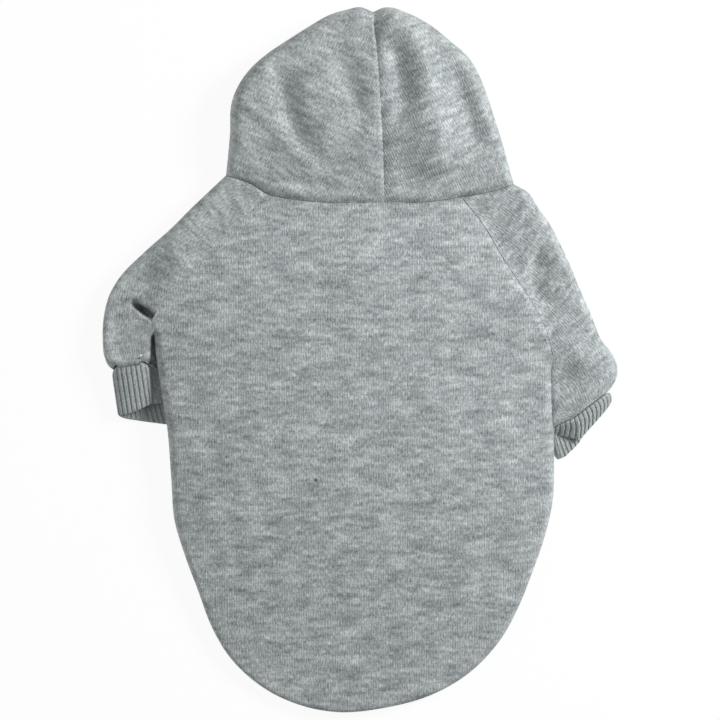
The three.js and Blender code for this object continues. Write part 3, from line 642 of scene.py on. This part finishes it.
def backPanel():
    left, right = sides["left"], sides["right"]
    across = graded(bodyMesh["columns"], bodyMesh["foldShare"], bodyMesh["foldSteps"])
    neckShare = np.where(
        across <= 0.5,
        lerp(left["raglanTop"], neckMiddle, across * 2),
        lerp(neckMiddle, right["raglanTop"], across * 2 - 1),
    )
    tailShares = lerp(left["edgeShares"][-1], right["edgeShares"][-1], across)
    t = downRaglan(bodyMesh)
    edges = []
    for side in (left, right):
        inside = stripAt(side["edgeShares"][1:], np.ones(1))[0][:, :2]
        edges.append(np.vstack([side["raglan"].at(t), inside]))
    y = edges[0][:, 1]
    down = (y[0] - y) / (y[0] - y[-1])
    bottom = stripAt(tailShares, np.ones(1))[0][:, :2]
    plan = fill(neck.at(neckShare), bottom, edges[0], edges[1], across, down)
    onFold = np.zeros(plan.shape[:2], bool)
    onFold[bodyMesh["raglanRows"], [0, -1]] = True
    places, flat = upper(plan, "back", onFold)
    openSeam(places, 0, 1, neckGap(places[0]))
    raglan = places[:bodyMesh["raglanRows"]].transpose(1, 0, 2)
    openSeam(raglan, 0, 1, seamGaps["raglanLeft"])
    openSeam(raglan, -1, -2, seamGaps["raglanRight"])
    path = np.concatenate([left["edgeShares"], tailShares[1:-1], right["edgeShares"][::-1]])
    turns = 1 - np.cos(np.linspace(0, np.pi / 2, bodyMesh["flapRows"] + 1))
    strip = stripAt(path[:, None], turns[None, :])
    skirt = flapAt(path[:, None], turns[None, :])
    return makeCloth("backFleece", [(places, flat), strip, skirt], 0, cloth["wall"], "back_panel")


def bellyPanel():
    left, right = sides["left"], sides["right"]
    across = graded(bellyMesh["columns"], bellyMesh["foldShare"], bellyMesh["foldSteps"])
    topShares = lerp(left["frontTop"], right["frontTop"], across)
    t = np.linspace(0, 1, bellyMesh["raglanRows"] + 1)
    seamSides = []
    for side in (left, right):
        shares = side["edgeShares"][1:bodyMesh["sideRows"] + 1]
        places, _ = flapAt(shares, 1.0)
        seamSides.append(np.vstack([side["frontRaglan"].at(t), places[:, :2]]))
    y = seamSides[0][:, 1]
    down = (y[0] - y) / (y[0] - y[-1])
    bottom = lerp(seamSides[0][-1], seamSides[1][-1], across[:, None])
    plan = fill(frontNeck(topShares), bottom, seamSides[0], seamSides[1], across, down)
    places, _ = lower(plan)
    for edge, side in ((0, left), (-1, right)):
        places[len(t):, edge] = flapAt(side["edgeShares"][1:bodyMesh["sideRows"] + 1], 1.0)[0]
    turned = places.transpose(1, 0, 2)
    for grid, edge, inside in ((turned, 0, 1), (turned, -1, -2), (places, 0, 1)):
        openSeam(grid, edge, inside, seamGaps["under"])
    return makeCloth("bellyFleece", [(places, plan * (-1, 1))], 0, cloth["wall"], "belly_panel")


cuff = {
    "height": 14.0,
    "wall": 2.6,
    "inset": 0.9,  # the cuff is narrower than the sleeve's end
    "seamDip": 1.7,  # the seam lies this deep below the sleeve
    "seamRun": 4.5,  # and the sleeve rounds down to it over this length
    "underSleeve": 1.2,  # how far the cuff reaches in under the sleeve's end
    "groove": 1.5,  # depth of the cuff below the sleeve's edge at the seam
    "grooveRun": 1.0,  # lengths over which the cuff comes up out of it, and its ribs grow to their height
    "ribRun": 1.5,
    "seamShade": 2.2,  # painted shade in the seam's recess, this many times as dark as the painted shade in a valley of the rib
    "shadeRun": 0.8,
    "roundness": 0.8,  # power that gives the cuff's ring its full corners
    "ribPitch": 2.7,  # 2x2 rib
    "ribHeight": 0.85,
    "valleyWidth": 0.14,  # share of the pitch
    "pitchAt": 0.6,  # the pitch holds at this share of the cuff's length
    "outlineSteps": 800,  # for measuring the way round
    "columnsPerRib": 12,
    "rows": 34,
    "firstRow": 0.012,  # share of the cuff's length
    "lipSteps": 6,
    "lip": 2.2,  # the cuff's wall over this is how far its lip rounds out
    "weld": 0.005,
}
sleeveMesh = {
    "upper": 84, "lower": 34, "raglanRows": 96, "tubeRows": 44,
    "underarm": 0.86,  # share of the sleeve's outer edge opposite the underarm
    "firstRows": (0.2, 0.45, 0.7), "raglanCrowding": 1.25, "tubeCrowding": 1.6, "foldCrowding": 1.5,
    "neckRows": 6,  # the rows bend like the neck seam within the first sixth of the raglan
    "mouth": (0.45, 1.0),  # shares of the tube over which it passes into the cuff's mouth
}
# How the sleeve's inner side lies against the body, in mm
closing = {
    "clearance": 0.1,
    "most": 6.0,
    "tuckRun": 9.0,  # length below the underarm over which the tuck under the body grows
    "shut": (4.0, 9.0),  # this near the underarm the two lie shut at any height
}


def cuffNormal(side, turn):
    # outward direction round the cuff's ring, where turn is 0 at the outer fold and 1 at the inner one
    inwards = side["cuffInner"] - side["cuffOuter"]
    normal = np.zeros(turn.shape + (3,))
    normal[..., :2] = unit(inwards) * (-np.cos(np.pi * turn) / np.linalg.norm(inwards) * 2)[..., None]
    normal[..., 2] = np.sin(np.pi * turn) / (cuff["height"] / 2)
    return unit(normal)


def towardsBody(side, places, fromInner):
    # the inner side of the sleeve and cuff slopes down against the side of the body and slips under it
    inner, underarm = side["cuffInner"], side["underarm"]
    half = bodyEdge.points[bodyEdge.points[:, 0] * side["sign"] > body["offset"] * side["sign"]]
    order = np.argsort(half[:, 1])
    edgeX = np.interp(places[..., 1], half[order, 1], half[order, 0])
    innerX = np.interp(places[..., 1], [inner[1], underarm[1]], [inner[0], underarm[0]])
    gap = np.clip(side["sign"] * (innerX - edgeX) - closing["clearance"], 0, closing["most"])
    gap = np.where(places[..., 1] < underarm[1], gap, 0)
    gap += side["tuckUnder"] * smoothstep(underarm[1] - places[..., 1], 0, closing["tuckRun"])
    low = 1 - smoothstep(places[..., 2], *side["closeBelow"])
    fromUnderarm = np.linalg.norm(places[..., :2] - underarm, axis=-1)
    low = np.maximum(low, 1 - smoothstep(fromUnderarm, *closing["shut"]))
    near = 1 - smoothstep(fromInner, *side["closeRun"])
    places[..., 0] -= side["sign"] * gap * low * near
    return places


def cuffRing(side, turn, t):
    # the cuff's outer face before its ribs, at the share t of its length
    across = (1 - np.cos(np.pi * turn)) / 2
    turns, lengths, leans = np.array(side["cuffLips"]).T
    length = np.interp(turn, turns, lengths) * side["cuffLength"] * t
    lean = np.radians(np.interp(turn, turns, leans))
    point = lerp(side["cuffOuter"], side["cuffInner"], across[..., None])
    point = point + np.stack([np.sin(lean), -np.cos(lean)], axis=-1) * length[..., None]
    rise = np.sign(np.sin(np.pi * turn)) * np.abs(np.sin(np.pi * turn)) ** cuff["roundness"]
    point[..., 1] += side["cuffArch"] * (1 - t) * np.maximum(rise, 0)
    inwards = unit(side["cuffInner"] - side["cuffOuter"])
    point = point + inwards * (side["cuffSway"] * math.sin(math.pi * t) * np.maximum(rise, 0))[..., None]
    z = lerp(cuff["height"], side["cuffFlat"], t) / 2 * (1 + rise)
    places = np.concatenate([point, z[..., None]], axis=-1)
    width = np.linalg.norm(side["cuffInner"] - side["cuffOuter"])
    return towardsBody(side, places, (1 - across) * width)


def sleevePanel(name, side):
    # t runs down the raglan seams to the underarm, and q on from there down the tube to the cuff
    n, m = sleeveMesh["upper"], sleeveMesh["lower"]
    t = downRaglan(sleeveMesh)
    q = 1 - (1 - np.linspace(0, 1, sleeveMesh["tubeRows"] + 1)[1:]) ** sleeveMesh["tubeCrowding"]
    start = np.vstack([side["raglan"].at(t), side["tubeInner"].at(q)])[:, None]
    end = np.vstack([side["frontRaglan"].at(t), side["tubeInner"].at(q)])[:, None]
    underarm = sleeveMesh["underarm"]
    outer = side["sleeveEdge"].at(np.concatenate([underarm * t, lerp(underarm, 1, q)]))[:, None]
    closed = np.concatenate([1 - (1 - t) ** (1 / sleeveMesh["foldCrowding"]), np.ones(len(q))])[:, None]
    nearNeck = np.clip(1 - sleeveMesh["neckRows"] * t, 0, 1) ** 2
    nearNeck = np.concatenate([nearNeck, np.zeros(len(q))])[:, None, None]

    k = np.linspace(0, 1, n + 1)[None]
    share = lerp(np.sin(np.pi / 2 * k), (1 - np.cos(np.pi * k)) / 2, closed)
    along = np.sin(np.pi / 2 * k[0])
    bend = neck.at(lerp(side["raglanTop"], side["end"], along)) - lerp(start[0], outer[0], along[:, None])
    plan = lerp(start, outer, share[..., None]) + bend[None] * nearNeck
    onFold = np.zeros(plan.shape[:2], bool)
    onFold[:, -1] = True
    onFold[len(t) - 1:, 0] = True
    places, flat = upper(plan, "sleeve" + name.capitalize(), onFold)

    k = np.linspace(0, 1, m + 1)[None]
    crowded = 1 - np.cos(np.pi / 2 * k[0])
    share = lerp(crowded[None], (1 - np.cos(np.pi * k)) / 2, closed)
    bend = frontNeck(lerp(side["end"], side["frontTop"], crowded))
    bend = bend - lerp(outer[0], end[0], crowded[:, None])
    underPlan = lerp(outer, end, share[..., None]) + bend[None] * nearNeck
    distance, foot, outward = edgeField(underPlan)
    distance[:, 0] = 0
    distance[len(t) - 1:, -1] = 0
    underPlaces, underFlat = lower(underPlan, distance, foot, outward)
    places = np.concatenate([places, underPlaces[:, 1:]], axis=1)
    flat = np.concatenate([flat, underFlat[:, 1:]], axis=1)
    places = towardsBody(side, places, nearestOn(side["tubeInner"], places[..., :2])[0])

    # the last rows run into the cuff's mouth and round down to its seam
    into = smoothstep(np.concatenate([np.zeros(len(t)), q]), *sleeveMesh["mouth"])[:, None, None]
    turn = np.concatenate([np.linspace(1, 0, n + 1), np.linspace(2, 1, m + 1)[1:]])
    places = lerp(places, cuffRing(side, turn, 0.0)[None], into)
    toEnd = np.linalg.norm(places - places[-1:], axis=-1)
    dip = cuff["seamDip"] * (1 - np.minimum(toEnd / cuff["seamRun"], 1)) ** 2
    dip[:len(t)] = 0
    places = places - cuffNormal(side, turn)[None] * dip[..., None]
    openSeam(places, 0, 1, neckGap(places[0]))
    openSeam(places, -1, -2, seamGaps["cuff"])
    raglan = places[:len(t) - 1].transpose(1, 0, 2)
    openSeam(raglan, 0, 1, seamGaps["raglan" + name.capitalize()])
    openSeam(raglan, -1, -2, seamGaps["under"])
    # the courses run out from the centre of the sleeve's bend, and the wales round it
    x, y = np.moveaxis(flat - side["grainCentre"], -1, 0)
    angle = np.arctan2(y * side["sign"], x * side["sign"])
    flat = np.stack([np.hypot(x, y), angle * side["grainRadius"]], axis=-1)
    patches = [(places, flat)]
    return makeCloth(f"sleeveFleece_{name}", patches, 0, cloth["wall"], f"sleeve_{name}")


def cuffPiece(name, side):
    # rings run round the cuff: down its outer face, round the lip and back up inside
    dense = np.linspace(0, 2, cuff["outlineSteps"])
    outline = cuffRing(side, dense, cuff["pitchAt"])
    run = np.concatenate([[0], np.cumsum(np.linalg.norm(np.diff(outline, axis=0), axis=1))])
    ribs = round(run[-1] / cuff["ribPitch"])
    columns = ribs * cuff["columnsPerRib"]
    turn = np.interp(np.linspace(0, run[-1], columns + 1), run, dense)
    fromValley = np.abs((ribs * np.linspace(0, 1, columns + 1) + 0.5) % 1 - 0.5)
    valley = np.exp(-((fromValley / cuff["valleyWidth"]) ** 2))
    rib = cuff["ribHeight"] * (1 - valley)
    rows = np.geomspace(cuff["firstRow"], 1, cuff["rows"])
    t = np.concatenate([[-cuff["underSleeve"] / side["cuffLength"], 0], rows])
    fromSeam = np.maximum(t, 0) * side["cuffLength"]
    normal = cuffNormal(side, turn)
    groove = cuff["seamDip"] - cuff["inset"] + cuff["groove"]
    outer = []
    for share, away in zip(t, fromSeam):
        sunk = cuff["inset"] + groove * math.exp(-away / cuff["grooveRun"])
        swell = rib * (1 - math.exp(-away / cuff["ribRun"])) - cuff["ribHeight"] / 2 - sunk
        outer.append(cuffRing(side, turn, share) + normal * swell[:, None])
    outer = np.array(outer)
    inner = outer - normal * (cuff["wall"] - cuff["ribHeight"])
    middle = (outer[-1] + inner[-1]) / 2
    half = (outer[-1] - inner[-1]) / 2
    onwards = unit(outer[-1] - outer[-3])
    lip = []
    for angle in np.linspace(0, np.pi, cuff["lipSteps"] + 2)[1:-1]:
        lip.append(middle + half * np.cos(angle) + onwards * np.sin(angle) * cuff["wall"] / cuff["lip"])
    places = np.concatenate([outer, np.array(lip), inner[::-1], outer[:1]])
    places[:, -1] = places[:, 0]
    flat = np.zeros(places.shape[:2] + (2,))
    flat[..., 0] = np.linspace(0, run[-1], columns + 1)[None]
    lengths = np.linalg.norm(np.diff(places, axis=0), axis=-1).mean(axis=1)
    flat[..., 1] = -np.concatenate([[0], np.cumsum(lengths)])[:, None]
    # painted shade, read by the rib knit's colour: darker in the rib's valleys as they grow in, and darkest
    # in the seam's recess
    shown = 1 - np.exp(-fromSeam / cuff["ribRun"])
    shown = np.concatenate([shown, np.ones(len(lip)), shown[::-1], shown[:1]])
    recessShade = np.zeros(len(places))
    recessShade[:len(t)] = np.exp(-((fromSeam / cuff["shadeRun"]) ** 2))
    valleyShade = shown[:, None] * valley[None] + cuff["seamShade"] * recessShade[:, None]
    patches = [(places, flat, valleyShade)]
    return makeCloth(f"ribCuff_{name}", patches, 0, 0, f"cuff_{name}", cuff["weld"])


def hoodPanel(name, side, grain):
    # rings run from the neck seam round to the centre seam, ever further out and then back under the fold
    rings, under = hood["rings"], hood["underRings"]
    count = rings + under
    i, j = np.meshgrid(np.arange(count + 1), np.arange(count + 1))
    ring = np.maximum(i, j)
    turn = np.where(j <= i, 0.5 * j / np.maximum(ring, 1), 1 - 0.5 * i / np.maximum(ring, 1))
    turn = turn - hood["crowding"] * np.sin(2 * np.pi * turn) / (2 * np.pi)
    neckward = np.maximum(0, 1 - 2 * turn)[..., None]
    crownward = np.maximum(0, 2 * turn - 1)[..., None]
    edge = side["hoodEdge"].at(turn)
    middle = neck.at(neckMiddle)

    out = np.sin(np.pi / 2 * np.minimum(ring / rings, 1))
    onNeck = neck.at(lerp(neckMiddle, side["end"], out))
    neckShare = np.abs(onNeck[..., 0] - middle[0]) / abs(side["neckEnd"][0] - middle[0])
    share = lerp(neckShare, out, turn)[..., None]
    plan = lerp(middle, edge, share)
    plan = plan + (onNeck - lerp(middle, side["neckEnd"], neckShare[..., None])) * neckward
    plan = plan + (centreSeam(share[..., 0]) - lerp(middle, notch, share)) * crownward

    past = 1 - np.cos(np.pi / 2 * np.clip((ring - rings) / under, 0, 1))[..., None]
    underPlan = lerp(edge, side["faceEdge"].at(turn), past)
    straight = lerp(side["neckEnd"], side["faceEdge"].at(0.0), past)
    seamShare = lerp(side["end"], 0.5, past[..., 0])
    underPlan = underPlan + (frontNeck(seamShare) - straight) * neckward

    places, flat = upper(plan, "hood" + name.capitalize(), ring == rings)
    distance, foot, outward = edgeField(underPlan)
    distance = np.where(ring == rings, 0, distance)
    underPlaces, underFlat = lower(underPlan, distance, foot, outward)
    isUnder = (ring > rings)[..., None]
    places = np.where(isUnder, underPlaces, places)
    flat = np.where(isUnder, underFlat, flat)
    openSeam(places, 0, 1, seamGaps["centre"])
    openSeam(places.transpose(1, 0, 2), 0, 1, neckGap(places[:, 0]))
    patches = [(places, flat)]
    return makeCloth(f"hoodFleece_{name}", patches, grain, cloth["wall"], f"hood_{name}")


def linear(hexColour):
    # sRGB hex to linear RGBA
    values = [int(hexColour[k:k + 2], 16) / 255 for k in (1, 3, 5)]
    return [v / 12.92 if v <= 0.04045 else ((v + 0.055) / 1.055) ** 2.4 for v in values] + [1]


def addNode(tree, kind, settings, inputs, output=0):
    # adds a node and gives back one of its outputs
    made = tree.nodes.new(kind)
    for key, value in settings.items():
        setattr(made, key, value)
    for key, value in inputs.items():
        if isinstance(value, bpy.types.NodeSocket):
            tree.links.new(value, made.inputs[key])
        else:
            made.inputs[key].default_value = value
    return made.outputs[output]


def newMaterial(name, surface):
    material = bpy.data.materials.new(name)
    material.use_nodes = True
    shader = material.node_tree.nodes["Principled BSDF"]
    for key, value in surface.items():
        shader.inputs[key].default_value = value
    return material, material.node_tree, shader


fleeceLook = {
    "dark": "#5f6667",
    "middle": "#9da3a4",
    "light": "#d4d9d9",
    "noises": {  # width across the wales and height along them in mm, and weight
        "strokes": (0.75, 2.4, 0.32),
        "courses": (8.0, 2.2, 0.22),
        "specks": (0.5, 0.5, 0.22),
        "clouds": (14.0, 7.0, 0.16),
    },
    "contrast": 0.125,  # the colours run from dark to light while the noises' sum is this near its middle
    "wale": 1.2,  # pitch in mm; real wales are about 0.7 mm, drawn coarser so that they show
    "waleColour": "#6c7374",
    "waleMix": 0.16,
    "pileHeight": 0.35,
    "pile": {"strokes": 0.7, "specks": 0.6, "wales": -0.3},
    # flecks of lint: place in the layout and radius in mm, colour
    "flecks": [((-34, -138), 1.1, "#555a5c"), ((-121, -76), 0.7, "#e8ebec")],
    "surface": {
        "Roughness": 0.95, "Sheen Weight": 0.12, "Sheen Roughness": 0.6, "Specular IOR Level": 0.25,
    },
}
ribLook = {
    "dark": "#747b7c",
    "light": "#bcc2c2",
    "noises": {"strokes": (0.6, 1.6, 0.6), "specks": (0.42, 0.42, 0.4)},
    "contrast": 0.16,
    # painted shade in the rib's valleys and the seam's recess: its colour, and how strongly one unit of it is
    # mixed in
    "valleyShadeColour": "#454b4d",
    "valleyShadeMix": 0.22,
    "stitchHeight": 0.3,
    "surface": {"Roughness": 0.92, "Sheen Weight": 0.1, "Specular IOR Level": 0.25},
}


def patternNoises(tree, vector, look, apart):
    # the look's noises, each stretched to its own size and read at its own place
    noises = {}
    for k, (name, (width, height, _)) in enumerate(look["noises"].items()):
        placed = addNode(tree, "ShaderNodeMapping", {}, {
            "Vector": vector,
            "Location": (apart * k, apart * k, apart * k),
            "Scale": (1 / (width * mm), 1 / (height * mm), 1),
        })
        noises[name] = addNode(tree, "ShaderNodeTexNoise", {}, {
            "Vector": placed, "Scale": 1.0, "Detail": 2.0, "Roughness": 0.6,
        })
    return noises


def weightedSum(tree, values, weights, start=0.0):
    total = start
    for name, weight in weights.items():
        total = addNode(tree, "ShaderNodeMath", {"operation": "MULTIPLY_ADD"}, {
            0: values[name], 1: weight, 2: total,
        })
    return total


def blendedNoises(tree, noises, look):
    # 0 to 1 over the look's contrast on both sides of a half
    weights = {name: size[2] for name, size in look["noises"].items()}
    total = weightedSum(tree, noises, weights, 0.5 * (1 - sum(weights.values())))
    low, high = 0.5 - look["contrast"], 0.5 + look["contrast"]
    return total, addNode(tree, "ShaderNodeMapRange", {}, {0: total, 1: low, 2: high})


def fleckShare(tree, place, radius):
    # 1 in the middle of a small fleck and 0 outside it
    position = addNode(tree, "ShaderNodeTexCoord", {}, {}, "Object")
    inPlan = addNode(tree, "ShaderNodeVectorMath", {"operation": "MULTIPLY"}, {0: position, 1: (1, 1, 0)})
    centre = ((place[0] + shift[0]) * mm, (place[1] + shift[1]) * mm, 0)
    away = addNode(tree, "ShaderNodeVectorMath", {"operation": "DISTANCE"}, {0: inPlan, 1: centre}, "Value")
    return addNode(tree, "ShaderNodeMapRange", {"interpolation_type": "SMOOTHSTEP"}, {
        0: away, 1: radius * mm, 2: radius * mm * 0.5, 3: 0.0, 4: 1.0,
    })


def dress(tree, shader, colour, layers, height, depth):
    # mixes each layer's colour over the one below by its share, and bumps the surface
    for share, over in layers:
        colour = addNode(tree, "ShaderNodeMix", {"data_type": "RGBA"}, {
            0: share, 6: colour, 7: linear(over),
        }, 2)
    tree.links.new(colour, shader.inputs["Base Color"])
    bump = addNode(tree, "ShaderNodeBump", {}, {"Strength": 0.6, "Distance": depth * mm, "Height": height})
    tree.links.new(bump, shader.inputs["Normal"])


def heatherFleece():
    # heather cotton fleece, knitted from mixed grey yarn and brushed: fine light and dark strokes along the
    # wales over soft streaks along the courses
    look = fleeceLook
    material, tree, shader = newMaterial("heatherCottonFleece", look["surface"])
    vector = addNode(tree, "ShaderNodeAttribute", {"attribute_name": "cloth"}, {}, "Vector")
    noises = patternNoises(tree, vector, look, 3.7)
    _, spread = blendedNoises(tree, noises, look)
    noises["wales"] = addNode(tree, "ShaderNodeTexWave", {"wave_type": "BANDS", "bands_direction": "X"}, {
        "Vector": vector, "Scale": math.pi / (10 * look["wale"] * mm), "Distortion": 0.8, "Detail": 1.0,
    }, 1)
    layers = [
        (addNode(tree, "ShaderNodeMapRange", {}, {0: spread, 1: 0.0, 2: 0.5}), look["middle"]),
        (addNode(tree, "ShaderNodeMapRange", {}, {0: spread, 1: 0.5, 2: 1.0}), look["light"]),
        (weightedSum(tree, noises, {"wales": look["waleMix"]}), look["waleColour"]),
    ]
    layers += [(fleckShare(tree, place, radius), colour) for place, radius, colour in look["flecks"]]
    height = weightedSum(tree, noises, look["pile"])
    dress(tree, shader, linear(look["dark"]), layers, height, look["pileHeight"])
    return material


def ribKnit():
    # cotton rib knit: the mesh has the ribs, and the colour has the stitches' light strokes and painted shade
    # in the rib's valleys and the seam's recess
    look = ribLook
    material, tree, shader = newMaterial("cottonRibKnit", look["surface"])
    vector = addNode(tree, "ShaderNodeAttribute", {"attribute_name": "cloth"}, {}, "Vector")
    height, spread = blendedNoises(tree, patternNoises(tree, vector, look, 3.1), look)
    # the third component holds painted shade: darker in the rib's valleys and in the seam's recess
    valley = addNode(tree, "ShaderNodeSeparateXYZ", {}, {0: vector}, 2)
    valleyShadeShare = weightedSum(tree, {"valley": valley}, {"valley": look["valleyShadeMix"]})
    layers = [(spread, look["light"]), (valleyShadeShare, look["valleyShadeColour"])]
    dress(tree, shader, linear(look["dark"]), layers, height, look["stitchHeight"])
    return material


fleece = heatherFleece()
rib = ribKnit()
pieces = {
    "back": backPanel(),
    "belly": bellyPanel(),
    "sleeveLeft": sleevePanel("left", sides["left"]),
    "sleeveRight": sleevePanel("right", sides["right"]),
    "hoodLeft": hoodPanel("left", sides["left"], -25),
    "hoodRight": hoodPanel("right", sides["right"], 25),
}
for piece in pieces.values():
    piece.data.materials.append(fleece)
cuffs = {name: cuffPiece(name, side) for name, side in sides.items()}
for piece in cuffs.values():
    piece.data.materials.append(rib)
studioLook = {
    "floorSize": 3.0,
    "floorDrop": 0.2,  # in mm, so that the floor and the cloth never share a plane
    "paper": {
        "Base Color": (0.07, 0.07, 0.07, 1), "Roughness": 0.9, "Specular IOR Level": 0.1,
        "Emission Color": linear("#fcfdfc"), "Emission Strength": 0.94,
    },
    "world": 0.3,
    # place and size in metres, power in watts
    "lights": {"key": ((0.75, 0.38, 0.62), 0.35, 11.8), "fill": ((-0.8, 0.1, 0.6), 0.8, 2.2)},
    "width": 0.36,  # what the camera takes in at its distance above the outline's height
    "distance": 1.6,
    "outlineHeight": 0.008,
    "centre": (0, 0.0005),
}


def studio():
    look = studioLook
    floorMesh = bpy.data.meshes.new("floor")
    build = bmesh.new()
    bmesh.ops.create_grid(build, x_segments=1, y_segments=1, size=look["floorSize"])
    bmesh.ops.translate(build, verts=build.verts, vec=(0, 0, -look["floorDrop"] * mm))
    build.to_mesh(floorMesh)
    build.free()
    floor = bpy.data.objects.new("floor", floorMesh)
    bpy.context.scene.collection.objects.link(floor)
    # white paper, lit through from below as on a light table, so that it takes almost no shadow
    floorMesh.materials.append(newMaterial("palePaper", look["paper"])[0])

    world = bpy.data.worlds.new("studio")
    bpy.context.scene.world = world
    world.use_nodes = True
    background = world.node_tree.nodes["Background"]
    background.inputs[0].default_value = (1, 1, 1, 1)
    background.inputs[1].default_value = look["world"]
    for name, (place, size, power) in look["lights"].items():
        light = bpy.data.lights.new(name, "AREA")
        light.size = size
        light.energy = power
        lamp = bpy.data.objects.new(name, light)
        lamp.location = place
        lamp.rotation_euler = (-Vector(place)).to_track_quat("-Z", "Y").to_euler()
        bpy.context.scene.collection.objects.link(lamp)

    camera = bpy.data.cameras.new("camera")
    camera.sensor_width = 36
    camera.lens = camera.sensor_width * look["distance"] / look["width"]
    eye = bpy.data.objects.new("camera", camera)
    eye.location = (*look["centre"], look["distance"] + look["outlineHeight"])
    bpy.context.scene.collection.objects.link(eye)
    bpy.context.scene.camera = eye
    bpy.context.scene.view_settings.view_transform = "Standard"
    bpy.context.scene.view_settings.look = "None"


studio()
